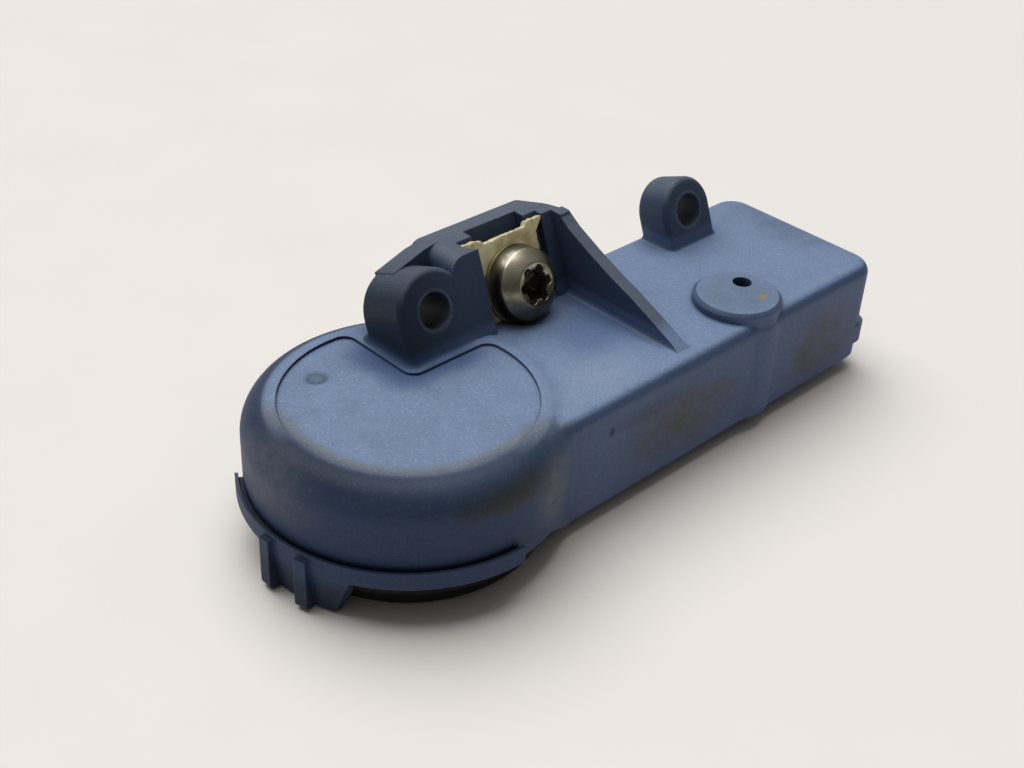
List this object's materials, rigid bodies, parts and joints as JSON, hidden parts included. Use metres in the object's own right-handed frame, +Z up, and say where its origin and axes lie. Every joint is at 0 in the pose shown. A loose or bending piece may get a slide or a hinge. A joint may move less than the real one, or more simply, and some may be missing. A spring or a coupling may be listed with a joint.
{
  "type": "tyre pressure sensor",
  "caption": "Wheel-mounted tyre pressure sensor: moulded housing with a round battery end, a long arm, a tilted valve tower with plate and screw, pierced lugs and a pressure port boss.",
  "frame": {"origin": "on the flat underside of the base cover, below the axis of the round battery end", "axes": "+X from the round battery end along the arm, +Y to the valve side, +Z up out of the top face"},
  "size_m": [0.0549, 0.0235, 0.016],
  "materials": {
    "housing_plastic": "fine moulded grain, dusty",
    "cover_plastic": "fine moulded grain",
    "plate_metal": "sheared and dull",
    "washer_metal": "satin",
    "screw_steel": "satin, lightly stained",
    "board_laminate": "solder resist",
    "cell_steel": "drawn",
    "pad_foam": "foam",
    "tab_nickel": "satin",
    "chip_plastic": "moulded",
    "seal_rubber": "moulded",
    "can_steel": "satin",
    "coil_ferrite": "sintered",
    "coil_copper": "enamelled wire",
    "antenna_brass": "satin",
    "capacitor_plastic": "ceramic"
  },
  "bodies": {
    "root": {"housing": "housing_plastic", "base_cover": "cover_plastic", "valve_plate": "plate_metal", "screw_washer": "washer_metal", "valve_screw": "screw_steel", "circuit_board": "board_laminate", "coin_cell": "cell_steel", "cell_pad": "pad_foam", "battery_tab_positive": "tab_nickel", "battery_tab_negative": "tab_nickel", "sensor_chip": "chip_plastic", "port_seal": "seal_rubber", "transmitter_chip": "chip_plastic", "crystal": "can_steel", "lf_coil_core": "coil_ferrite", "lf_coil_winding": "coil_copper", "antenna": "antenna_brass", "storage_capacitor": "capacitor_plastic", "capacitors": "capacitor_plastic", "resistors": "chip_plastic", "inductors": "coil_ferrite"}
  },
  "joints": []
}
